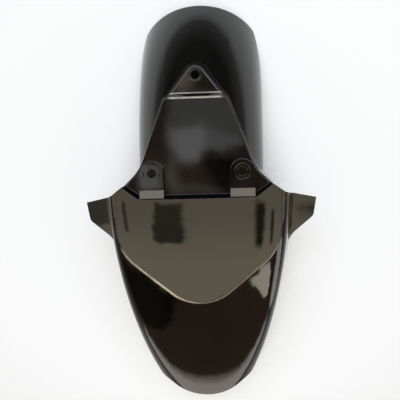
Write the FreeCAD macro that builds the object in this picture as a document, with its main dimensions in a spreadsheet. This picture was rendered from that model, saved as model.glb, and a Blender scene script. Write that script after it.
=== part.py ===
import FreeCAD, Part
import Sketcher
import math
import os

# Front mudguard of a scooter, one plastic moulding.
# Millimetres. Origin midway between the two front bolt holes, on the round seats that their
# washers press on. +Z is up along the bolts, +Y runs back to the tail, +X is the rider's left.

# Driving dimensions, each with what it sizes.
SIZES = [
    ("wall", 2.5, "thickness of the moulding"),
    # Fixings
    ("bolt_spacing", 110, "between the two front bolt holes"),
    ("bolt_hole", 11, "diameter of a front bolt hole"),
    ("bolt_recess", 19, "diameter of the round seat around a front hole"),
    ("recess_depth", 1, "depth of a seat below the face around it"),
    ("tab_radius", 15, "half width and end radius of a bolt tab"),
    ("tab_height", 6, "bolt seats above the deck"),
    ("ramp_start", 20, "from the bolts forward to the foot of the tab ramp"),
    ("ramp_rise", 3, "top of the ramp between tab and hood, above the bolt seat"),
    ("rear_bolt", 119, "from the front bolts back to the rear bolt"),
    ("rear_hole", 11, "diameter of the rear bolt hole"),
    ("rear_recess", 15, "diameter of the round seat around the rear hole"),
    ("boss_radius", 11.5, "rounded end of the rear boss, about its hole"),
    ("boss_half", 35, "half width of the boss where it leaves the deck"),
    ("boss_drop", 8, "top of the boss below the deck"),
    ("boss_slope", 5, "run of the slope between deck and boss"),
    # Deck
    ("deck_rear", 92, "from the front bolts back to the deck's rear edge"),
    ("deck_rear_half", 39, "half width of the deck at its rear edge"),
    ("deck_waist", 5, "from the bolts back to where the deck starts to flare"),
    ("flare_front", 23, "from the bolts forward to the end of the flare"),
    ("flare_half", 99, "half width of the deck at the end of the flare"),
    ("flare_radius", 60, "bend from the deck's side into the flare"),
    ("deck_tuck_half", 77, "half width of the deck's end under the hood"),
    ("tuck", 14, "how far one form runs on under the next"),
    ("deck_corner", 5, "corner radius of the deck in plan"),
    ("deck_draft", 3, "lean of the deck walls, degrees"),
    ("boss_draft", 16, "lean of the boss walls, degrees"),
    ("deck_round", 2.5, "rounding along the top of deck and boss"),
    # Tail arch
    ("arch_radius", 81, "radius of the arch across the tyre"),
    ("arch_drop", 8, "crown of the arch below the bolt seat"),
    ("tail_radius", 280, "radius of the tail's crown, seen from the side"),
    ("tail_start", 17.5, "from the bolts back to where the tail starts to curve down"),
    ("tail_angle", 46, "sweep of the tail, degrees"),
    ("tail_depth", 43, "crown to the lower corner at the tail's end"),
    ("notch_edge", 74, "lower edge beside the fork leg, below the bolt seat"),
    ("notch_edge_bend", 40, "bend of the lower edge there"),
    ("arch_front", 32.5, "from the bolts forward to the front end of that edge"),
    ("arch_front_edge", 68, "lower edge at its front end, below the bolt seat"),
    # Hood and nose
    ("hood_radius", 480, "radius of the hood's crown, seen from the side"),
    ("hood_top", 12.5, "from the bolts forward to the hood's highest point"),
    ("hood_rise", 2.5, "crown of the hood above the bolt seat"),
    ("panel_step", 3.5, "raised panel above the nose surface"),
    ("hood_rear", 26.5, "from the bolts forward to the foot of the step up to the hood"),
    ("peak_half", 90, "half width of that foot at its outer ends"),
    ("peak_front", 12.5, "from the bolts forward to those ends"),
    ("rear_lean", 24, "lean of the step up to the hood, degrees"),
    ("nose_angle", 36.6, "sweep of the hood down to the nose tip, degrees"),
    ("nose_tip", 291.5, "from the bolts forward to the nose tip"),
    ("nose_round", 60, "radius of the nose tip in plan"),
    ("nose_flare", 42, "lean of the edges that leave that round in plan, degrees"),
    # Cross sections of the hood: sweep, half width, depth of the side, lean of the side,
    # and how far the flat top and the side run before the shoulder bends.
    ("rear_sweep", -5, "sweep to the first section, behind the rear step, degrees"),
    ("ear_sweep", 6, "sweep to the ear section, degrees"),
    ("ear_width", 109, "half width at the ears"),
    ("ear_side", 18, "depth of the side at the ears"),
    ("ear_lean", 10, "lean of the side at the ears, degrees"),
    ("ear_flat", 100, "run of the flat top at the ears"),
    ("ear_shoulder", 15, "run of the side at the ears"),
    ("brow_sweep", 16, "sweep to the brow section, degrees"),
    ("brow_width", 97.5, "half width at the brow"),
    ("brow_side", 20, "depth of the side at the brow"),
    ("brow_lean", 7, "lean of the side at the brow, degrees"),
    ("brow_flat", 85, "run of the flat top at the brow"),
    ("brow_shoulder", 16, "run of the side at the brow"),
    ("beak_sweep", 27, "sweep to the beak section, degrees"),
    ("beak_width", 76, "half width at the beak"),
    ("beak_side", 22, "depth of the side at the beak"),
    ("beak_lean", 10, "lean of the side at the beak, degrees"),
    ("beak_flat", 65, "run of the flat top at the beak"),
    ("beak_shoulder", 17, "run of the side at the beak"),
    ("tip_width", 38, "half width at the nose tip"),
    ("tip_side", 14, "depth of the side at the nose tip"),
    ("tip_lean", 30, "lean of the side at the nose tip, degrees"),
    ("tip_flat", 28, "run of the flat top at the nose tip"),
    ("tip_shoulder", 11, "run of the side at the nose tip"),
    ("skirt", 30, "straight lower part of the side"),
    # Raised panel on the hood
    ("panel_half", 101, "half width of the raised panel"),
    ("panel_bend", 93, "from the bolts forward to where the panel narrows"),
    ("panel_corner", 60, "bend radius there"),
    ("panel_tip", 177, "from the bolts forward to the panel's point"),
    ("panel_tip_radius", 55, "radius of the panel's point"),
    ("panel_round", 2, "rounding along the panel's edge"),
    # Ears
    ("ear_half", 145, "half width over the ears"),
    ("ear_rear", 34, "from the bolts forward to the ear's rear corner"),
    ("ear_front", 57, "from the bolts forward to the ear's front corner"),
    ("ear_taper", 4, "narrowing of the ear from rear to front corner"),
    ("ear_corner", 9, "radius of the ear's corners"),
    ("ear_droop", 8, "slope of the ear down and out, degrees"),
    ("ear_bend", 5, "bend between the side and the ear"),
    ("ear_root", 79, "from the bolts forward to the blend in front of the ear"),
    ("ear_root_half", 114, "half width at that blend"),
    ("ear_root_radius", 30, "radius of that blend"),
    ("ear_lead", 40, "run of the hood's side ahead of that blend"),
    ("ear_lead_angle", 28, "lean of that run in plan, degrees"),
    # Notches for the fork legs, behind the ears
    ("notch_half", 84, "half width left between the notches"),
    ("notch_front", 10.5, "from the bolts forward to the inner end of a notch's front edge"),
    ("notch_bend", 26, "from the bolts forward to the bend in that edge"),
    ("notch_bend_half", 106, "half width at that bend"),
]

REACH = 200          # length of the cutting blocks, beyond any edge of the part
HEADROOM = 60        # height of the cutting blocks above the part
OVERRUN = 1          # degrees the swept walls run past the trimmed ends
ARCH_ARCS = 6        # equal arcs that make up the round of the tail arch

doc = FreeCAD.newDocument("front_mudguard")
sheet = doc.addObject("Spreadsheet::Sheet", "dim")
for row, (alias, value, meaning) in enumerate(SIZES, 1):
    sheet.set(f"A{row}", meaning)
    sheet.set(f"B{row}", str(value))
    sheet.setAlias(f"B{row}", alias)
doc.recompute()

Vec = FreeCAD.Vector
TOP_VIEW = FreeCAD.Rotation()
FRONT_VIEW = FreeCAD.Rotation(Vec(1, 0, 0), 90)
SIDE_VIEW = FreeCAD.Rotation(Vec(1, 1, 1), 120)


def number(expression):
    """Value of a sheet expression."""
    return float(sheet.evalExpression(expression))


def feature(kind, name, bound=None, **settings):
    """Document object with plain settings and with properties bound to the sheet."""
    item = doc.addObject(kind, name)
    for key, value in settings.items():
        setattr(item, key, value)
    for key, expression in (bound or {}).items():
        item.setExpression(key, expression)
    return item


def new_sketch(name, rotation, height="0"):
    """Empty sketch facing along one of the views, at the given height."""
    sketch = doc.addObject("Sketcher::SketchObject", name)
    sketch.Placement = FreeCAD.Placement(Vec(0, 0, 0), rotation)
    if height != "0":
        sketch.setExpression("Placement.Base.z", height)
    return sketch


def hold_point(sketch, geometry, end, x, y):
    """Ties one point of a sketch to the sheet."""
    for axis, kind, expression in ((-2, "DistanceX", x), (-1, "DistanceY", y)):
        if expression == "0":
            sketch.addConstraint(Sketcher.Constraint("PointOnObject", geometry, end, axis))
            continue
        where = Sketcher.Constraint(kind, -1, 1, geometry, end, number(expression))
        index = sketch.addConstraint(where)
        sketch.setExpression(f"Constraints[{index}]", expression)


def hold_radius(sketch, geometry, expression):
    """Ties the radius of an arc to the sheet."""
    index = sketch.addConstraint(Sketcher.Constraint("Radius", geometry, number(expression)))
    sketch.setExpression(f"Constraints[{index}]", expression)


def join(sketch, first, second, kind="Coincident"):
    """Joins the end of one edge to the start of the next."""
    sketch.addConstraint(Sketcher.Constraint(kind, first, 2, second, 1))


def draw_outline(sketch, corners):
    """Closed outline through corners (x, y) or (x, y, radius), all sheet expressions."""
    count = len(corners)
    spots = [Vec(number(c[0]), number(c[1]), 0) for c in corners]
    arrive, leave, arcs = [], [], []
    for i, corner in enumerate(corners):
        radius = number(corner[2]) if len(corner) > 2 else 0
        back = (spots[i - 1] - spots[i]).normalize()
        ahead = (spots[(i + 1) % count] - spots[i]).normalize()
        half = back.getAngle(ahead) / 2
        arrive.append(spots[i] + back * (radius / math.tan(half)))
        leave.append(spots[i] + ahead * (radius / math.tan(half)))
        arcs.append(None)
        if radius:
            centre = spots[i] + (back + ahead).normalize() * (radius / math.sin(half))
            circle = Part.Circle(centre, Vec(0, 0, 1), radius)
            turns_left = back.cross(ahead).z < 0
            ends = (arrive[i], leave[i]) if turns_left else (leave[i], arrive[i])
            first, last = [circle.parameter(end) for end in ends]
            arcs[i] = (Part.ArcOfCircle(circle, first, last), (1, 2) if turns_left else (2, 1))
    lines = []
    for i in range(count):
        lines.append(sketch.addGeometry(Part.LineSegment(leave[i], arrive[(i + 1) % count])))
    for i, corner in enumerate(corners):
        before, after = lines[i - 1], lines[i]
        if arcs[i] is None:
            join(sketch, before, after)
            hold_point(sketch, after, 1, corner[0], corner[1])
            continue
        curve, (start, end) = arcs[i]
        arc = sketch.addGeometry(curve)
        sketch.addConstraint(Sketcher.Constraint("Tangent", before, 2, arc, start))
        sketch.addConstraint(Sketcher.Constraint("Tangent", arc, end, after, 1))
        hold_radius(sketch, arc, corner[2])
        mark = sketch.addGeometry(Part.Point(spots[i]), True)
        hold_point(sketch, mark, 1, corner[0], corner[1])
        sketch.addConstraint(Sketcher.Constraint("PointOnObject", mark, 1, before))
        sketch.addConstraint(Sketcher.Constraint("PointOnObject", mark, 1, after))
    return sketch


def both_sides(corners):
    """Right half corners, followed by the same corners on the left, going back round."""
    left = [(f"-({c[0]})",) + tuple(c[1:]) for c in reversed(corners) if c[0] != "0"]
    return list(corners) + left


def block(name, base, up="0", down="0", lean_up="0", lean_down="0"):
    """Outline drawn out both ways from its plane, with leaning sides."""
    bound = {"LengthFwd": up, "LengthRev": down, "TaperAngle": lean_up, "TaperAngleRev": lean_down}
    return feature("Part::Extrusion", name, bound, Base=base, DirMode="Normal", Solid=True)


def inset(name, base, distance):
    """The same outline moved inwards."""
    return feature("Part::Offset2D", name, {"Value": f"-({distance})"}, Source=base, Join=2)


def lowered(name, base, distance):
    """Inset outline, moved down as well."""
    item = inset(name, base, "dim.wall")
    item.setExpression("Placement.Base.z", f"-({distance})")
    return item


def fuse(name, *parts):
    """Union of several objects."""
    return feature("Part::MultiFuse", name, Shapes=list(parts))


def common(name, *parts):
    """What several objects share."""
    return feature("Part::MultiCommon", name, Shapes=list(parts))


def cut(name, base, tool):
    """One object less another."""
    return feature("Part::Cut", name, Base=base, Tool=tool)


def mirrored(name, base):
    """The same object on the other side of the middle plane."""
    return feature("Part::Mirroring", name, Source=base, Base=Vec(0, 0, 0), Normal=Vec(1, 0, 0))


def rounded_top(name, base, radius, steep=0.5):
    """Rounds the edges between the top of a block and its steep sides."""
    doc.recompute()
    picked = []
    for index, edge in enumerate(base.Shape.Edges, 1):
        middle = edge.valueAt((edge.FirstParameter + edge.LastParameter) / 2)
        faces = base.Shape.ancestorsOfType(edge, Part.Face)
        climb = sorted(face.normalAt(*face.Surface.parameter(middle)).z for face in faces)
        if len(faces) == 2 and abs(climb[0]) < steep < climb[1]:
            picked.append((index, number(radius), number(radius)))
    item = feature("Part::Fillet", name, Base=base)
    item.Edges = picked
    return item


# Heights of the flat faces, below the bolt seat.
DECK_TOP = "-dim.tab_height"
BOSS_TOP = "-(dim.tab_height + dim.boss_drop)"
TAB_EDGE = "(dim.bolt_spacing / 2 + dim.tab_radius)"
UNDER_HOOD = "(dim.hood_rear + dim.tuck)"


def arch_section(name, trim, drop):
    """Upright section of the tail arch: a half round with straight sides below."""
    sketch = new_sketch(name, FRONT_VIEW)
    sketch.setExpression("Placement.Base.y", "dim.tail_start")
    radius = f"(dim.arch_radius - {trim})"
    middle = "-(dim.arch_drop + dim.arch_radius)"
    foot = f"{middle} - {drop}"
    r, z, low = number(radius), number(middle), number(foot)
    turn = math.pi / ARCH_ARCS
    arcs = []
    for i in range(ARCH_ARCS):
        circle = Part.Circle(Vec(0, z, 0), Vec(0, 0, 1), r)
        arcs.append(sketch.addGeometry(Part.ArcOfCircle(circle, i * turn, (i + 1) * turn)))
    left = sketch.addGeometry(Part.LineSegment(Vec(-r, z, 0), Vec(-r, low, 0)))
    base = sketch.addGeometry(Part.LineSegment(Vec(-r, low, 0), Vec(r, low, 0)))
    right = sketch.addGeometry(Part.LineSegment(Vec(r, low, 0), Vec(r, z, 0)))
    for first, second in zip(arcs, arcs[1:]):
        join(sketch, first, second)
        sketch.addConstraint(Sketcher.Constraint("Coincident", first, 3, second, 3))
        sketch.addConstraint(Sketcher.Constraint("Angle", first, turn))
    join(sketch, arcs[-1], left, "Tangent")
    join(sketch, left, base)
    join(sketch, base, right)
    join(sketch, right, arcs[0], "Tangent")
    hold_point(sketch, arcs[0], 3, "0", middle)
    hold_radius(sketch, arcs[0], radius)
    hold_point(sketch, left, 2, f"-{radius}", foot)
    hold_point(sketch, right, 1, radius, foot)
    return sketch


def tail_form(name, trim, drop):
    """Arch swept back and down round the wheel, and run forward under the hood."""
    section = arch_section(f"{name}_section", trim, drop)
    axis_height = "-(dim.arch_drop + dim.tail_radius)"
    bound = {"Base.y": "dim.tail_start", "Base.z": axis_height, "Angle": f"dim.tail_angle + {OVERRUN}"}
    swept = feature("Part::Revolution", f"{name}_swept", bound, Source=section, Axis=Vec(-1, 0, 0),
                    Solid=True)
    ahead = block(f"{name}_ahead", section, up=f"dim.tail_start + {UNDER_HOOD}")
    return fuse(name, swept, ahead)


def boss_outline(name):
    """Rear boss in plan: a round end about the bolt with straight sides to the deck."""
    sketch = new_sketch(name, TOP_VIEW, BOSS_TOP)
    bolt, radius = number("dim.rear_bolt"), number("dim.boss_radius")
    half, near = number("dim.boss_half"), number("dim.deck_rear")
    front = near - number("dim.tuck")
    span = math.hypot(half, bolt - near)
    tilt = math.asin(radius / span) + math.atan2(bolt - near, half)
    touch = math.pi / 2 - tilt
    arc = sketch.addGeometry(Part.ArcOfCircle(Part.Circle(Vec(0, bolt, 0), Vec(0, 0, 1), radius),
                                              touch, math.pi - touch))
    spots = [Vec(-radius * math.cos(touch), bolt + radius * math.sin(touch), 0), Vec(-half, near, 0),
             Vec(-half, front, 0), Vec(half, front, 0), Vec(half, near, 0),
             Vec(radius * math.cos(touch), bolt + radius * math.sin(touch), 0)]
    lines = [sketch.addGeometry(Part.LineSegment(a, b)) for a, b in zip(spots, spots[1:])]
    for first, second in zip(lines, lines[1:]):
        join(sketch, first, second)
    join(sketch, arc, lines[0], "Tangent")
    join(sketch, lines[-1], arc, "Tangent")
    hold_point(sketch, arc, 3, "0", "dim.rear_bolt")
    hold_radius(sketch, arc, "dim.boss_radius")
    hold_point(sketch, lines[1], 1, "-dim.boss_half", "dim.deck_rear")
    hold_point(sketch, lines[2], 1, "-dim.boss_half", "dim.deck_rear - dim.tuck")
    hold_point(sketch, lines[3], 1, "dim.boss_half", "dim.deck_rear - dim.tuck")
    hold_point(sketch, lines[4], 1, "dim.boss_half", "dim.deck_rear")
    return sketch


def slope_form(name, trim, profile):
    """Slope from the deck down to the boss, kept clear of the boss's rounded sides."""
    plan = inset(f"{name}_plan", boss_plan, f"dim.deck_round + {trim}")
    sides = block(f"{name}_sides", plan, up="dim.boss_drop", down=str(HEADROOM))
    return common(name, block(f"{name}_block", profile, up=str(REACH), down=str(REACH)), sides)


def tab_form(name, trim, profile):
    """Both bolt tabs: round ended in plan, with the side profile that ramps up to the hood."""
    radius = f"dim.tab_radius - {trim}"
    pieces = []
    for side, sign in (("left", "-"), ("right", "")):
        where = {"Placement.Base.x": f"{sign}dim.bolt_spacing / 2", "Radius": radius}
        end = feature("Part::Cylinder", f"{name}_{side}_end", where, Height=REACH,
                      Placement=FreeCAD.Placement(Vec(0, 0, -REACH / 2), TOP_VIEW))
        size = {"Length": f"2 * ({radius})", "Width": UNDER_HOOD,
                "Placement.Base.x": f"{sign}dim.bolt_spacing / 2 - ({radius})",
                "Placement.Base.y": f"-{UNDER_HOOD}"}
        body = feature("Part::Box", f"{name}_{side}_body", size, Height=REACH,
                       Placement=FreeCAD.Placement(Vec(0, 0, -REACH / 2), TOP_VIEW))
        pieces += [end, body]
    side_view = block(f"{name}_profile_block", profile, up=str(REACH), down=str(REACH))
    return common(name, side_view, fuse(f"{name}_plan", *pieces))


STATIONS = [("rear", "ear"), ("ear", "ear"), ("brow", "brow"), ("beak", "beak"), ("tip", "tip")]


def station_values(station, shape):
    """Sweep angle and section sizes of one station along the hood."""
    sweep = f"dim.{station}_sweep"
    if station == "tip":
        sweep = f"(dim.nose_angle + {OVERRUN})"
    names = ("width", "side", "lean", "flat", "shoulder")
    width, side, lean, flat, shoulder = [f"dim.{shape}_{part}" for part in names]
    return sweep, width, side, f"({lean} * 1deg)", flat, shoulder


def station_sketch(name, sweep):
    """Sketch across the hood, square to its crown; its origin is the crown's centre."""
    sketch = new_sketch(name, FRONT_VIEW, "dim.hood_rise - dim.hood_radius")
    sketch.setExpression("Placement.Base.y", "-dim.hood_top")
    sketch.setExpression("Placement.Rotation.Angle", f"90 + {sweep}")
    return sketch


def hood_section(name, station, shape, raised, run):
    """Section under the hood's skin: two smooth halves, leaning sides and a flat foot."""
    sweep, width, side, lean, flat, shoulder = station_values(station, shape)
    sketch = station_sketch(name, sweep)
    crown = f"dim.hood_radius + {raised}"
    edge = (f"{width} + ({raised}) * cos({lean})",
            f"dim.hood_radius - {side} + ({raised}) * sin({lean})")
    bend = (f"{edge[0]} - {shoulder} * sin({lean})", f"{edge[1]} + {shoulder} * cos({lean})")
    foot = (f"{edge[0]} + ({run}) * sin({lean})", f"{edge[1]} - ({run}) * cos({lean})")
    halves, sides = [], []
    for sign in ("", "-"):
        poles = [("0", crown)] + [(f"{sign}({x})", y) for x, y in ((flat, crown), bend, edge)]
        spots = [Vec(number(x), number(y), 0) for x, y in poles]
        curve = sketch.addGeometry(Part.BSplineCurve(spots, None, None, False, 3, None, False))
        first = None
        for index, (spot, pole) in enumerate(zip(spots, poles)):
            ring = sketch.addGeometry(Part.Circle(spot, Vec(0, 0, 1), 1), True)
            if first is None:
                first = ring
                sketch.addConstraint(Sketcher.Constraint("Weight", ring, 1.0))
            else:
                sketch.addConstraint(Sketcher.Constraint("Equal", first, ring))
            sketch.addConstraint(Sketcher.Constraint(
                "InternalAlignment:Sketcher::BSplineControlPoint", ring, 3, curve, index))
            if index or not halves:
                hold_point(sketch, ring, 3, pole[0], pole[1])
        low = Vec(number(f"{sign}({foot[0]})"), number(foot[1]), 0)
        line = sketch.addGeometry(Part.LineSegment(spots[-1], low))
        join(sketch, curve, line)
        hold_point(sketch, line, 2, f"{sign}({foot[0]})", foot[1])
        halves.append(curve)
        sides.append((line, low))
    sketch.addConstraint(Sketcher.Constraint("Coincident", halves[0], 1, halves[1], 1))
    (right, low_right), (left, low_left) = sides
    base = sketch.addGeometry(Part.LineSegment(low_right, low_left))
    sketch.addConstraint(Sketcher.Constraint("Coincident", right, 2, base, 1))
    sketch.addConstraint(Sketcher.Constraint("Coincident", left, 2, base, 2))
    return sketch


def hood_form(name, raised, run):
    """Solid under the hood's skin, from behind the rear edge to the nose."""
    sections = [hood_section(f"{name}_{station}", station, shape, raised, run)
                for station, shape in STATIONS]
    return feature("Part::Loft", name, Sections=sections, Solid=True, Ruled=False)


def ear_section(name, station, shape):
    """Section of the ear: a thin plate that leaves the foot of the side with a round bend."""
    sweep, width, side, lean, flat, shoulder = station_values(station, shape)
    up = (f"-sin({lean})", f"cos({lean})")
    inwards = (f"-cos({lean})", f"-sin({lean})")
    droop = "(dim.ear_droop * 1deg)"
    out = (f"cos({droop})", f"-sin({droop})")
    below = (f"-sin({droop})", f"-cos({droop})")
    foot = (f"{width} + dim.skirt * sin({lean})",
            f"dim.hood_radius - {side} - dim.skirt * cos({lean})")

    def moved(spot, *steps):
        """Point reached from a spot by steps along directions."""
        x, y = spot
        for direction, distance in steps:
            x = f"{x} + ({direction[0]}) * ({distance})"
            y = f"{y} + ({direction[1]}) * ({distance})"
        return x, y

    # The plate's root stands in the thickness of the side wall.
    root = moved(foot, (up, "dim.wall"), (inwards, "dim.wall / 2"))
    climb = "dim.ear_bend * 2"
    corners = [
        moved(root, (up, climb)),
        moved(root, (up, climb), (inwards, "dim.wall / 4")),
        moved(root, (below, "dim.wall"), (inwards, "dim.wall / 4")),
        moved(root, (out, "dim.ear_half"), (below, "dim.wall")),
        moved(root, (out, "dim.ear_half")),
        root + ("dim.ear_bend",),
    ]
    return draw_outline(station_sketch(name, sweep), corners)


# Deck, boss and tabs, as outlines shared by the outer and the inner form.
deck_plan = draw_outline(new_sketch("deck_plan", TOP_VIEW, DECK_TOP), both_sides([
    ("dim.deck_tuck_half", f"-{UNDER_HOOD}"),
    ("dim.flare_half", "-dim.flare_front"),
    (TAB_EDGE, "dim.deck_waist", "dim.flare_radius"),
    ("dim.deck_rear_half", "dim.deck_rear", "dim.deck_corner"),
]))
boss_plan = boss_outline("boss_plan")
slope_profile = draw_outline(new_sketch("slope_profile", SIDE_VIEW), [
    ("dim.deck_rear - dim.tuck / 2", f"-{HEADROOM}"),
    ("dim.deck_rear - dim.tuck / 2", f"{DECK_TOP} - dim.deck_round"),
    ("dim.deck_rear", f"{DECK_TOP} - dim.deck_round"),
    ("dim.deck_rear + dim.boss_slope", BOSS_TOP),
    ("dim.deck_rear + dim.boss_slope", f"-{HEADROOM}"),
])
tab_profile = draw_outline(new_sketch("tab_profile", SIDE_VIEW), [
    ("2 * dim.tab_radius", f"-{HEADROOM}"),
    ("2 * dim.tab_radius", "dim.recess_depth"),
    ("-dim.ramp_start", "dim.recess_depth"),
    ("-(dim.hood_rear + dim.tuck / 2)", "dim.ramp_rise"),
    (f"-{UNDER_HOOD}", "dim.ramp_rise"),
    (f"-{UNDER_HOOD}", f"-{HEADROOM}"),
])

# Plan of the hood: its rear step runs straight between the tabs, then out to the peaks.
step_slope = f"(dim.hood_rear - dim.peak_front) / (dim.peak_half - {TAB_EDGE})"
hood_plan = draw_outline(new_sketch("hood_plan", TOP_VIEW, DECK_TOP), both_sides([
    (str(REACH), str(-2 * REACH)),
    (str(REACH), f"-dim.hood_rear + ({REACH} - {TAB_EDGE}) * {step_slope}"),
    (TAB_EDGE, "-dim.hood_rear", "dim.deck_corner"),
]))
panel_plan = draw_outline(new_sketch("panel_plan", TOP_VIEW), both_sides([
    ("0", "-dim.panel_tip", "dim.panel_tip_radius"),
    ("dim.panel_half", "-dim.panel_bend", "dim.panel_corner"),
    ("dim.panel_half", str(REACH)),
]))

# Outer form.
deck_block = block("deck_block", deck_plan, down="dim.notch_edge", lean_down="dim.deck_draft")
deck_outer = rounded_top("deck_outer", deck_block, "dim.deck_round")
boss_block = block("boss_block", boss_plan, down="dim.arch_radius", lean_down="dim.boss_draft")
boss_outer = rounded_top("boss_outer", boss_block, "dim.deck_round")
slope_outer = slope_form("slope_outer", "0", slope_profile)
tail_outer = tail_form("tail_outer", "0", "dim.wall")
tabs_outer = tab_form("tabs_outer", "0", tab_profile)
hood_skin = hood_form("hood_skin", "0", "dim.skirt")
panel_skin = hood_form("panel_skin", "dim.panel_step", "dim.skirt")
panel_block = block("panel_block", panel_plan, up=str(REACH), down=str(REACH))
panel_outer = rounded_top("panel_outer", common("panel_cut", panel_skin, panel_block), "dim.panel_round")
hood_block = block("hood_block", hood_plan, up=str(HEADROOM), down=str(REACH), lean_up="-dim.rear_lean")
hood_outer = common("hood_outer", fuse("hood_and_panel", hood_skin, panel_outer), hood_block)

# The notch behind each ear, where a fork leg stands; its front edge runs out along the ear.
ear_slope = "(dim.ear_rear - dim.notch_bend) / (dim.ear_half - dim.notch_bend_half)"
notch_plan = draw_outline(new_sketch("notch_plan", TOP_VIEW), [
    ("dim.notch_half", "-dim.notch_front"),
    ("dim.notch_bend_half", "-dim.notch_bend"),
    (str(REACH), f"-dim.notch_bend - ({REACH} - dim.notch_bend_half) * {ear_slope}"),
    (str(REACH), str(REACH)),
    ("dim.notch_half", str(REACH)),
])
notch_right = block("notch_right", notch_plan, up=str(REACH), down=str(REACH))
notches = fuse("notches", notch_right, mirrored("notch_left", notch_right))

outer = fuse("outer", tail_outer, deck_outer, boss_outer, slope_outer, tabs_outer,
             cut("hood_notched", hood_outer, notches))

# Inner form: the same shapes, a wall thickness inside.
deck_inner = block("deck_inner", lowered("deck_inner_plan", deck_plan, "dim.wall"),
                   down="dim.notch_edge", lean_down="dim.deck_draft")
boss_inner = block("boss_inner", lowered("boss_inner_plan", boss_plan, "dim.wall"),
                   down="dim.arch_radius", lean_down="dim.boss_draft")
slope_inner = slope_form("slope_inner", "dim.wall", inset("slope_inner_profile", slope_profile, "dim.wall"))
tail_inner = tail_form("tail_inner", "dim.wall", "2 * dim.wall")
tabs_inner = tab_form("tabs_inner", "dim.wall", inset("tab_profile_inner", tab_profile, "dim.wall"))
hood_void = hood_form("hood_void", "-dim.wall", "dim.skirt + dim.notch_edge")
panel_void = hood_form("panel_void", "dim.panel_step - dim.wall", "dim.skirt + dim.notch_edge")
panel_inner_block = block("panel_inner_block", inset("panel_inner_plan", panel_plan, "dim.wall"),
                          up=str(REACH), down=str(REACH))
panel_inner = common("panel_inner", panel_void, panel_inner_block)
hood_inner_block = block("hood_inner_block", inset("hood_inner_plan", hood_plan, "dim.wall"),
                         up=str(HEADROOM), down=str(REACH), lean_up="-dim.rear_lean")
hood_inner = common("hood_inner", fuse("hood_and_panel_void", hood_void, panel_inner), hood_inner_block)
inner = fuse("inner", tail_inner, deck_inner, boss_inner, slope_inner, tabs_inner, hood_inner)


# Side view of the trimmed skin: the tail's cut end and lower edge.
def on_tail(depth):
    """Point on the tail's end, a depth below its crown."""
    reach, angle = f"(dim.tail_radius - {depth})", "(dim.tail_angle * 1deg)"
    return (f"dim.tail_start + {reach} * sin({angle})",
            f"-(dim.arch_drop + dim.tail_radius) + {reach} * cos({angle})")


side_trim = draw_outline(new_sketch("side_trim", SIDE_VIEW), [
    (str(-2 * REACH), str(-REACH)),
    ("-dim.arch_front", str(-REACH)),
    ("-dim.arch_front", "-dim.arch_front_edge"),
    ("0", "-dim.notch_edge", "dim.notch_edge_bend"),
    on_tail("dim.tail_depth"),
    on_tail(f"(-{HEADROOM})"),
    ("0", str(REACH)),
    (str(-2 * REACH), str(REACH)),
])
trim_block = block("trim_block", side_trim, up=str(REACH), down=str(REACH))

# Plan of the trimmed skin: the nose ends in a round.
nose_corner = "-(dim.nose_tip + dim.nose_round * (1 / cos(dim.nose_flare * 1deg) - 1))"
nose_plan = draw_outline(new_sketch("nose_plan", TOP_VIEW), both_sides([
    ("0", nose_corner, "dim.nose_round"),
    (str(REACH), f"{nose_corner} + {REACH} * tan(dim.nose_flare * 1deg)"),
    (str(REACH), str(2 * REACH)),
]))
nose_block = block("nose_block", nose_plan, up=str(REACH), down=str(REACH))

# Ears.
ear_plate = feature("Part::Loft", "ear_plate", Solid=True, Ruled=False, Sections=[
    ear_section(f"ear_plate_{station}", station, shape) for station, shape in STATIONS])
ear_inside = "dim.ear_root_half - dim.ear_lead * tan(dim.ear_lead_angle * 1deg)"
ear_plan = draw_outline(new_sketch("ear_plan", TOP_VIEW), [
    (ear_inside, "-(dim.ear_root + dim.ear_lead)"),
    ("dim.ear_root_half", "-dim.ear_root", "dim.ear_root_radius"),
    ("dim.ear_half - dim.ear_taper", "-dim.ear_front", "dim.ear_corner"),
    ("dim.ear_half", "-dim.ear_rear"),
    ("dim.ear_half", "0"),
    (ear_inside, "0"),
])
ear_right = common("ear_right", ear_plate, block("ear_block", ear_plan, up=str(REACH), down=str(REACH)))
ear_left = mirrored("ear_left", ear_right)

shell = common("shell", common("skin_trimmed", cut("skin", outer, inner), trim_block), nose_block)
ears = cut("ears", fuse("both_ears", ear_right, ear_left), notches)
whole = fuse("whole", shell, ears)


def upright_bore(name, diameter, place, foot):
    """Upright cylinder to be cut away, from the given foot up past the part."""
    bound = {"Radius": f"dim.{diameter} / 2", "Placement.Base.z": foot, **place}
    return feature("Part::Cylinder", name, bound, Height=REACH)


bores = []
for side, sign in (("left", "-"), ("right", "")):
    place = {"Placement.Base.x": f"{sign}dim.bolt_spacing / 2"}
    bores.append(upright_bore(f"bolt_{side}", "bolt_hole", place, f"-{HEADROOM}"))
    bores.append(upright_bore(f"seat_{side}", "bolt_recess", place, "0"))
place = {"Placement.Base.y": "dim.rear_bolt"}
bores.append(upright_bore("bolt_rear", "rear_hole", place, f"-{HEADROOM}"))
bores.append(upright_bore("seat_rear", "rear_recess", place, f"{BOSS_TOP} - dim.recess_depth"))

mudguard = cut("front_mudguard", whole, fuse("bores", *bores))
mudguard.Label = "front_mudguard"
mudguard.Placement = FreeCAD.Placement(Vec(0, 0, 0), TOP_VIEW)
doc.recompute()

for item in doc.Objects:
    if "Invalid" in item.State or "Error" in item.State:
        raise RuntimeError(f"{item.Name}: {item.getStatusString()}")
shape = mudguard.Shape
if shape.isNull() or not shape.isValid() or len(shape.Solids) != 1:
    raise RuntimeError(f"front_mudguard is not one sound solid: {[s.Volume for s in shape.Solids]}")
os.makedirs("parts", exist_ok=True)
shape.exportStep(f"parts/{mudguard.Label}.step")
print(mudguard.Label, round(shape.Volume), shape.optimalBoundingBox(False), len(shape.Faces))
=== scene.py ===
import math

import bpy
from mathutils import Matrix, Vector


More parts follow.
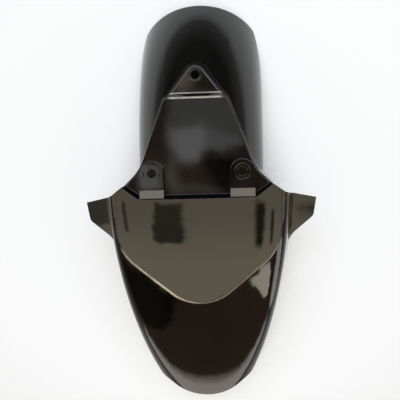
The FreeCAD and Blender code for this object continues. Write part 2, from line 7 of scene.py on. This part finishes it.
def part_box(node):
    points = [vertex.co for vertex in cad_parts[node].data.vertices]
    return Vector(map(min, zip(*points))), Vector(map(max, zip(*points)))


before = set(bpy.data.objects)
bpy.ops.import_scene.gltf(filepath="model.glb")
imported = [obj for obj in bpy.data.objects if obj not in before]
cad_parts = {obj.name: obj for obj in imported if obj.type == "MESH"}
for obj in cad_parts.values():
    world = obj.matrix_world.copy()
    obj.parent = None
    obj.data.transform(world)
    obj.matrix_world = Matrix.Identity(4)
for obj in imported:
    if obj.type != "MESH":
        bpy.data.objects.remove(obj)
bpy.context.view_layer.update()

NODE = "front_mudguard"

# Camera, in metres and degrees, fitted to the photograph's outline and bolt holes.
IMAGE_PIXELS = 400
FOCAL_PIXELS = 808.2
SENSOR_MM = 36.0
CAMERA_AT = Vector((0.07475, -0.00975, 0.96782))
CAMERA_LOOKS_AT = Vector((0.00309, -0.03325, 0.0))
CAMERA_ROLL = 1.56
CAMERA_CLIP = 0.01, 100.0

# Studio floor, in metres: white round the part, grey further out, and dark with painted shadow in two
# small spots that show through the front bolt holes.
FLOOR_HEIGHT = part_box(NODE)[0].z
FLOOR_SIZE = 30.0
FLOOR_NEAR = (0.82, 0.90, 0.96)
FLOOR_FAR = (0.52, 0.55, 0.58)
FLOOR_FADE = 0.34, 0.9
FLOOR_LIFT = 0.7
SHADOW_REACH = 0.2
SHADOW_OPEN = 0.25, 0.75
SHADOW_SAMPLES = 8
SHADOW_COLOUR = (0.05, 0.045, 0.04)
SHADOW_SPOTS = [(-0.0715, 0.0012), (0.0525, 0.0012)]
SPOT_EDGE = 0.0060, 0.0078

# Lamps above and behind the part: name, place, size, brightness as seen, tint.
LAMPS = [
    ("warm_lamp", (0.0, 0.68, 2.0), (2.8, 0.36), 3.7, (1.0, 0.92, 0.78)),
    ("cool_lamp", (0.0, 1.28, 2.0), (2.8, 0.80), 3.7, (0.72, 0.90, 1.28)),
]

# Black gloss moulding. A face that looks down, by the height of its normal, is an inside face.
GLOSS_IOR = 1.52
DARK_BLACK, LIGHT_BLACK = (0.002, 0.0019, 0.0018), (0.005, 0.0046, 0.004)
INSIDE_FACES = -0.12, -0.02
GLOSS_ROUGHNESS = 0.03, 0.075
INSIDE_ROUGHNESS = 0.34
# Noises over the surface, as scale and detail: uneven gloss, uneven black, and three reliefs with
# their heights, which are orange peel, the grain of the inside and slight waves.
SMEAR, SMEAR_FINENESS, SMEAR_RANGE = (26.0, 6.0), 0.65, (0.35, 0.75)
TONE, TONE_RANGE = (14.0, 3.0), (0.3, 0.7)
PEEL, PEEL_HEIGHT = (420.0, 2.0), 0.02
GRAIN, GRAIN_HEIGHT = (1700.0, 3.0), 0.7
WAVES, WAVES_HEIGHT = (34.0, 1.0), 0.35
RELIEF_STRENGTH, RELIEF_DEPTH = 0.4, 0.0002
# Sharp edges catch light as if rounded by this much, in metres.
EDGE_ROUND, EDGE_SAMPLES = 0.0009, 8

# Edges with a pale painted highlight, in plan, in metres: the raised panel's edge, which is a round
# point, two straight flanks and two round bends, and two bars across the step down to the boss.
PANEL_HALF, PANEL_BEND, PANEL_CORNER = 0.101, 0.093, 0.060
PANEL_TIP, PANEL_TIP_RADIUS = 0.177, 0.055
PANEL_HIGHLIGHT_TO = -0.103, -0.088
PANEL_LINE = 0.0005, 0.0014
# The painted highlight on the panel's left flank is wider and paler than on its right one, which is this
# faint.
LEFT_FLANK, LEFT_NARROWING, RIGHT_FAINTNESS = (-0.03, 0.01), 0.65, 0.35
BARS = [(0.0907, 0.0012), (0.0968, 0.0007)]
BAR_HALF = 0.030, 0.034
BAR_EDGE = 0.0004
# Colour of the painted highlight on those edges, made patchy by the smear noise.
PAINTED_HIGHLIGHT_COLOUR = (0.60, 0.56, 0.48)
HIGHLIGHT_PATCHES, HIGHLIGHT_LEAST = (0.4, 0.6), 0.5

# Room round the part: brown ahead, dark behind, grey at the horizon. The fades run over the
# direction's Y, from ahead to behind, and over its Z, from the horizon up.
ROOM_AHEAD = (0.24, 0.14, 0.09)
ROOM_BEHIND = (0.06, 0.06, 0.06)
ROOM_FADE = -0.2, 0.6
HORIZON = (0.3, 0.3, 0.3)
HORIZON_FADE = 0.02, 0.3

# Directions in the room are in degrees right and back from straight up.
# The ceiling is mirrored by the raised panel and the ears; it is brighter ahead.
CEILING_OVER = (1.60, 1.42, 1.04)
CEILING_AHEAD = (2.35, 2.02, 1.44)
CEILING_FADE = -0.2, -0.5
CEILING_EDGE = 0.008
CEILING = [
    [(-75, -1.5), (1, -1.5), (1, -32), (-20, -32.3), (-45, -31), (-64, -27)],
    [(0, -1.5), (75, -1.5), (62, -27), (38, -31.5), (12, -33), (0, -33)],
    [(-22, -30), (-8, -43.2), (-3.0, -43.4), (0.9, -40.4), (5, -30)],
    [(-4, -27), (-2, -42.6), (9, -35.3), (20, -27)],
]
# Other things in the room: brightness, softness of the edge, corners. Their edges are ragged.
RAGGED, RAGGED_NOISE = 0.03, (26.0, 3.0)
PANELS = [
    # Dark opening and posts in the ceiling, mirrored by the raised panel
    ((0.30, 0.27, 0.19), 0.006,
     [(-11.8, -7.3), (-6.3, -7.3), (-6.5, -21.7), (-11.7, -22), (-13.6, -20.8)]),
    ((0.12, 0.10, 0.07), 0.02, [(7.6, -8), (13.5, -8.5), (14, -26), (9.3, -24.8)]),
    ((0.25, 0.22, 0.15), 0.02, [(19, -12), (23, -12), (24, -26), (20.5, -25.5)]),
    # Windows ahead on the right, mirrored by the side of the nose
    ((4.8, 4.5, 3.65), 0.006,
     [(7, -38.4), (14.5, -34.6), (27, -34.4), (30, -41), (35, -48), (26, -48.6)]),
    ((3.6, 3.4, 3.1), 0.02, [(40, -31), (62, -27), (72, -45), (75, -60), (52, -58), (44, -47)]),
    # Dark wall ahead on the left, mirrored by the nose
    ((0.0, 0.0, 0.0), 0.015,
     [(-62, -32.5), (-20, -34.5), (-9, -42), (-12, -53), (-20, -58), (-50, -58)]),
    # Pale wall ahead, mirrored by the tip of the nose
    ((3.0, 2.7, 2.4), 0.05, [(-52, -62), (52, -62), (59, -70), (-59, -70)]),
    # Grey skylight with a brighter cloud, mirrored by the deck
    ((0.66, 0.68, 0.66), 0.004, [(-6.5, 6.0), (-0.3, 6.0), (-0.8, 2.6), (-6.2, 2.6)]),
    ((1.05, 1.1, 1.08), 0.004, [(-4.4, 4.0), (-1.2, 3.0), (-1.0, 2.35), (-3.8, 2.25)]),
    ((1.75, 1.82, 1.78), 0.005,
     [(-6.0, 3.5), (-4.3, 4.1), (-3.5, 2.4), (-4.0, 1.7), (-4.8, 1.5), (-5.8, 2.0)]),
    # Black doorway, and a pale post and sill beside it, mirrored by the front of the deck
    ((0.0, 0.0, 0.0), 0.003, [(-3.6, 1.6), (-1.9, 1.6), (-1.9, -1.0), (-3.4, -1.0)]),
    ((0.95, 0.85, 0.70), 0.003, [(-6.4, 2.1), (-5.85, 2.1), (-5.4, -0.5), (-6.4, -0.7)]),
    ((0.80, 0.72, 0.60), 0.002, [(-6.4, -0.35), (-4.3, -0.35), (-2.6, -0.8), (-6.4, -0.9)]),
    # Grey blind, mirrored by the left tab
    ((1.55, 1.58, 1.50), 0.003, [(-8.4, 1.3), (-6.95, 1.3), (-6.95, -0.5), (-8.5, -0.5)]),
    # Dark beam, mirrored by the left ear
    ((0.55, 0.50, 0.40), 0.006, [(-26.2, -7), (-31, -7), (-31, -19), (-26.4, -19)]),
    # Lit beam, mirrored by the rear boss
    ((1.45, 1.28, 0.95), 0.006, [(-5.9, 6.15), (-4.5, 6.15), (-4.3, 7.6), (-5.2, 7.9)]),
]


def new_material(name):
    """Empty node material and its node tree."""
    material = bpy.data.materials.new(name)
    material.use_nodes = True
    material.node_tree.nodes.clear()
    return material, material.node_tree


def add_node(tree, kind, **settings):
    """Node with its properties and input values set; inputs are given by name."""
    node = tree.nodes.new(kind)
    for key, value in settings.items():
        if hasattr(node, key):
            setattr(node, key, value)
        else:
            node.inputs[key].default_value = value
    return node


def set_or_link(tree, socket, value):
    """Feeds an input from another node's output, or sets it to a plain value."""
    if isinstance(value, bpy.types.NodeSocket):
        tree.links.new(value, socket)
    else:
        socket.default_value = value


def math_node(tree, operation, *values):
    """Arithmetic on numbers."""
    node = add_node(tree, "ShaderNodeMath", operation=operation)
    for socket, value in zip(node.inputs, values):
        set_or_link(tree, socket, value)
    return node.outputs["Value"]


def vector_node(tree, operation, *values):
    """Arithmetic on vectors; the result is picked from its outputs."""
    node = add_node(tree, "ShaderNodeVectorMath", operation=operation)
    for socket, value in zip(node.inputs, values):
        set_or_link(tree, socket, value)
    return node.outputs


def split(tree, vector):
    """The three parts of a vector."""
    node = add_node(tree, "ShaderNodeSeparateXYZ")
    tree.links.new(vector, node.inputs[0])
    return node.outputs["X"], node.outputs["Y"], node.outputs["Z"]


def ramp(tree, value, low, high, from_low=0.0, from_high=1.0):
    """Value remapped to a range, clamped."""
    node = add_node(tree, "ShaderNodeMapRange", **{
        "From Min": from_low, "From Max": from_high, "To Min": low, "To Max": high})
    tree.links.new(value, node.inputs["Value"])
    return node.outputs["Result"]


def noise(tree, coordinates, scale_and_detail, fineness=0.5):
    """Noise over the coordinates: a grey output, Fac, and a coloured one, Color."""
    scale, detail = scale_and_detail
    node = add_node(tree, "ShaderNodeTexNoise", Scale=scale, Detail=detail, Roughness=fineness)
    tree.links.new(coordinates, node.inputs["Vector"])
    return node.outputs


def mix_colour(tree, factor, first, second):
    """Colour between two colours, each a socket or a plain colour."""
    node = add_node(tree, "ShaderNodeMix", data_type="RGBA")
    tree.links.new(factor, node.inputs["Factor"])
    for name, colour in (("A", first), ("B", second)):
        set_or_link(tree, node.inputs[name], (*colour, 1.0) if isinstance(colour, tuple) else colour)
    return node.outputs["Result"]


def choose(tree, switch, first, second):
    """First value where the switch is nought, second where it is one."""
    return math_node(tree, "MULTIPLY_ADD", switch, math_node(tree, "SUBTRACT", second, first), first)


def panel_edge(tree, across, y):
    """Distance in plan from the edge of the raised panel; across is the distance from the middle."""
    length = math.hypot(PANEL_HALF, PANEL_TIP - PANEL_BEND)
    out_x, out_y = (PANEL_TIP - PANEL_BEND) / length, PANEL_HALF / length
    point = (0.0, PANEL_TIP - PANEL_TIP_RADIUS / out_y)
    turned = PANEL_CORNER * math.tan(math.atan2(out_y, out_x) / 2)
    bend = (PANEL_HALF - PANEL_CORNER, PANEL_BEND - turned)

    def measured_from(middle):
        """Reach from a point, distance from it square to the flank, and whether past it along the flank."""
        x = math_node(tree, "SUBTRACT", across, middle[0])
        ahead = math_node(tree, "MULTIPLY_ADD", y, -1.0, -middle[1])
        square = math_node(tree, "MULTIPLY_ADD", x, x, math_node(tree, "MULTIPLY", ahead, ahead))
        outward = math_node(tree, "MULTIPLY_ADD", x, out_x, math_node(tree, "MULTIPLY", ahead, out_y))
        along = math_node(tree, "MULTIPLY_ADD", x, out_y, math_node(tree, "MULTIPLY", ahead, -out_x))
        return math_node(tree, "SQRT", square), outward, math_node(tree, "GREATER_THAN", along, 0.0)

    reach, outward, past = measured_from(point)
    from_flank = math_node(tree, "SUBTRACT", choose(tree, past, reach, outward), PANEL_TIP_RADIUS)
    reach, outward, past = measured_from(bend)
    from_bend = math_node(tree, "SUBTRACT", reach, PANEL_CORNER)
    return math_node(tree, "ABSOLUTE", choose(tree, past, from_flank, from_bend))


def painted_edge_highlights(tree, coordinates):
    """One on the edges with a painted highlight, nought elsewhere."""
    x, y, _ = split(tree, coordinates)
    across = math_node(tree, "ABSOLUTE", x)
    left = ramp(tree, x, 1.0, 0.0, *LEFT_FLANK)
    away = math_node(tree, "MULTIPLY", panel_edge(tree, across, y), ramp(tree, left, 1.0, LEFT_NARROWING))
    highlight = math_node(tree, "MULTIPLY", ramp(tree, away, 1.0, 0.0, *PANEL_LINE),
                     ramp(tree, y, 1.0, 0.0, *PANEL_HIGHLIGHT_TO))
    highlight = math_node(tree, "MULTIPLY", highlight, ramp(tree, left, RIGHT_FAINTNESS, 1.0))
    ends = ramp(tree, across, 1.0, 0.0, *BAR_HALF)
    for middle, half in BARS:
        away = math_node(tree, "ABSOLUTE", math_node(tree, "SUBTRACT", y, middle))
        bar = math_node(tree, "MULTIPLY", ramp(tree, away, 1.0, 0.0, half - BAR_EDGE, half + BAR_EDGE), ends)
        highlight = math_node(tree, "MAXIMUM", highlight, bar)
    return highlight


def gloss_black():
    """Black gloss moulding: polished outside with faint smears and pale painted highlights on some edges,
    satin grain inside.
    """
    material, tree = new_material("gloss_black_moulding")
    coordinates = add_node(tree, "ShaderNodeTexCoord").outputs["Object"]
    normal_z = split(tree, add_node(tree, "ShaderNodeNewGeometry").outputs["Normal"])[2]
    inside = ramp(tree, normal_z, 1.0, 0.0, *INSIDE_FACES)

    smear = noise(tree, coordinates, SMEAR, SMEAR_FINENESS)["Fac"]
    roughness = math_node(tree, "MULTIPLY_ADD", inside, INSIDE_ROUGHNESS,
                          ramp(tree, smear, *GLOSS_ROUGHNESS, *SMEAR_RANGE))

    grain = math_node(tree, "MULTIPLY", noise(tree, coordinates, GRAIN)["Fac"], inside)
    relief = math_node(tree, "MULTIPLY", grain, GRAIN_HEIGHT)
    for form, height in ((PEEL, PEEL_HEIGHT), (WAVES, WAVES_HEIGHT)):
        relief = math_node(tree, "MULTIPLY_ADD", noise(tree, coordinates, form)["Fac"], height, relief)
    edges = add_node(tree, "ShaderNodeBevel", samples=EDGE_SAMPLES, Radius=EDGE_ROUND)
    bump = add_node(tree, "ShaderNodeBump", Strength=RELIEF_STRENGTH, Distance=RELIEF_DEPTH)
    tree.links.new(relief, bump.inputs["Height"])
    tree.links.new(edges.outputs["Normal"], bump.inputs["Normal"])

    tone = ramp(tree, noise(tree, coordinates, TONE)["Fac"], 0.0, 1.0, *TONE_RANGE)
    black = mix_colour(tree, tone, DARK_BLACK, LIGHT_BLACK)
    # Pale painted highlight on the panel's edge and on the bars at the step down to the boss.
    patches = ramp(tree, smear, HIGHLIGHT_LEAST, 1.0, *HIGHLIGHT_PATCHES)
    highlight = math_node(tree, "MULTIPLY", painted_edge_highlights(tree, coordinates), patches)
    highlight = math_node(tree, "MULTIPLY", highlight, math_node(tree, "SUBTRACT", 1.0, inside))

    shader = add_node(tree, "ShaderNodeBsdfPrincipled", IOR=GLOSS_IOR)
    tree.links.new(mix_colour(tree, highlight, black, PAINTED_HIGHLIGHT_COLOUR), shader.inputs["Base Color"])
    tree.links.new(roughness, shader.inputs["Roughness"])
    tree.links.new(bump.outputs["Normal"], shader.inputs["Normal"])
    output = add_node(tree, "ShaderNodeOutputMaterial")
    tree.links.new(shader.outputs["BSDF"], output.inputs["Surface"])
    return material


def pale_floor():
    """White floor with painted shade where the part stands close over it, that reads as white to the camera.
    """
    material, tree = new_material("pale_floor")
    place = add_node(tree, "ShaderNodeNewGeometry").outputs["Position"]
    sky = add_node(tree, "ShaderNodeAmbientOcclusion", samples=SHADOW_SAMPLES, Distance=SHADOW_REACH)
    openness = ramp(tree, sky.outputs["AO"], 0.0, 1.0, *SHADOW_OPEN)
    for spot in SHADOW_SPOTS:
        away = vector_node(tree, "DISTANCE", place, (*spot, FLOOR_HEIGHT))["Value"]
        openness = math_node(tree, "MULTIPLY", openness, ramp(tree, away, 0.0, 1.0, *SPOT_EDGE))
    close = ramp(tree, vector_node(tree, "LENGTH", place)["Value"], 1.0, 0.0, *FLOOR_FADE)
    near = mix_colour(tree, openness, SHADOW_COLOUR, FLOOR_NEAR)
    matt = add_node(tree, "ShaderNodeBsdfDiffuse")
    tree.links.new(mix_colour(tree, close, FLOOR_FAR, near), matt.inputs["Color"])
    glow = add_node(tree, "ShaderNodeEmission", Color=(1.0, 1.0, 1.0, 1.0), Strength=1.0)

    path = add_node(tree, "ShaderNodeLightPath").outputs
    seen = math_node(tree, "MAXIMUM", path["Is Camera Ray"], path["Is Glossy Ray"])
    lift = math_node(tree, "MAXIMUM", seen, path["Is Transmission Ray"])
    for share in (openness, close, FLOOR_LIFT):
        lift = math_node(tree, "MULTIPLY", lift, share)
    mix = add_node(tree, "ShaderNodeMixShader")
    tree.links.new(lift, mix.inputs["Fac"])
    tree.links.new(matt.outputs["BSDF"], mix.inputs[1])
    tree.links.new(glow.outputs["Emission"], mix.inputs[2])
    output = add_node(tree, "ShaderNodeOutputMaterial")
    tree.links.new(mix.outputs["Shader"], output.inputs["Surface"])
    return material


def make_floor():
    """Floor plane at the lowest point of the part."""
    half = FLOOR_SIZE / 2
    corners = [(x, y, FLOOR_HEIGHT) for x, y in ((-half, -half), (half, -half), (half, half), (-half, half))]
    mesh = bpy.data.meshes.new("floor")
    mesh.from_pydata(corners, [], [(0, 1, 2, 3)])
    mesh.materials.append(pale_floor())
    floor = bpy.data.objects.new("floor", mesh)
    bpy.context.scene.collection.objects.link(floor)


def direction(right, back):
    """Unit vector that leans from straight up by so many degrees to the right and to the back."""
    lean = math.radians(math.hypot(right, back))
    turn = math.atan2(back, right)
    return Vector((math.sin(lean) * math.cos(turn), math.sin(lean) * math.sin(turn), math.cos(lean)))


def panel_mask(tree, looking, corners, softness):
    """One inside a convex panel of the dome, nought outside."""
    spots = [direction(*corner) for corner in corners]
    middle = sum(spots, Vector())
    mask = 1.0
    for first, second in zip(spots, spots[1:] + spots[:1]):
        edge = first.cross(second).normalized()
        if edge.dot(middle) < 0:
            edge.negate()
        side = vector_node(tree, "DOT_PRODUCT", looking, edge)["Value"]
        mask = math_node(tree, "MULTIPLY", ramp(tree, side, 0.0, 1.0, -softness, softness), mask)
    return mask


def make_world():
    """Dim room with a ceiling, windows and dark openings round the part."""
    world = bpy.data.worlds.new("studio")
    bpy.context.scene.world = world
    world.use_nodes = True
    tree = world.node_tree
    tree.nodes.clear()
    looking = add_node(tree, "ShaderNodeTexCoord").outputs["Generated"]
    _, y, z = split(tree, looking)
    light = mix_colour(tree, ramp(tree, y, 0.0, 1.0, *ROOM_FADE), ROOM_AHEAD, ROOM_BEHIND)
    light = mix_colour(tree, ramp(tree, z, 1.0, 0.0, *HORIZON_FADE), light, HORIZON)
    ceiling = mix_colour(tree, ramp(tree, y, 0.0, 1.0, *CEILING_FADE), CEILING_OVER, CEILING_AHEAD)
    for corners in CEILING:
        light = mix_colour(tree, panel_mask(tree, looking, corners, CEILING_EDGE), light, ceiling)

    stir = noise(tree, looking, RAGGED_NOISE)["Color"]
    shifted = vector_node(tree, "MULTIPLY_ADD", stir, (RAGGED,) * 3, looking)["Vector"]
    ragged = vector_node(tree, "SUBTRACT", shifted, (RAGGED / 2,) * 3)["Vector"]
    for colour, softness, corners in PANELS:
        light = mix_colour(tree, panel_mask(tree, ragged, corners, softness), light, colour)
    background = add_node(tree, "ShaderNodeBackground", Strength=1.0)
    tree.links.new(light, background.inputs["Color"])
    output = add_node(tree, "ShaderNodeOutputWorld")
    tree.links.new(background.outputs["Background"], output.inputs["Surface"])


def make_lamp(name, place, size, radiance, tint):
    """Soft lamp that faces down; it lights the floor and the faces that lean back."""
    lamp = bpy.data.lights.new(name, "AREA")
    lamp.shape = "RECTANGLE"
    lamp.size, lamp.size_y = size
    lamp.energy = radiance * math.pi * size[0] * size[1]
    lamp.color = tint
    item = bpy.data.objects.new(name, lamp)
    item.location = place
    bpy.context.scene.collection.objects.link(item)


def make_camera():
    """Camera at the photograph's viewing angle."""
    data = bpy.data.cameras.new("camera")
    data.sensor_width = SENSOR_MM
    data.lens = FOCAL_PIXELS / IMAGE_PIXELS * SENSOR_MM
    data.clip_start, data.clip_end = CAMERA_CLIP
    camera = bpy.data.objects.new("camera", data)
    bpy.context.scene.collection.objects.link(camera)
    roll = math.radians(CAMERA_ROLL)
    back = (CAMERA_AT - CAMERA_LOOKS_AT).normalized()
    right = Vector((math.sin(roll), math.cos(roll), 0.0)).cross(back).normalized()
    up = back.cross(right)
    turn = Matrix((right, up, back)).transposed().to_4x4()
    camera.matrix_world = Matrix.Translation(CAMERA_AT) @ turn
    bpy.context.scene.camera = camera


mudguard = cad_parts[NODE]
mudguard.data.materials.clear()
mudguard.data.materials.append(gloss_black())
make_floor()
make_world()
for lamp in LAMPS:
    make_lamp(*lamp)
make_camera()
bpy.context.scene.view_settings.view_transform = "Standard"
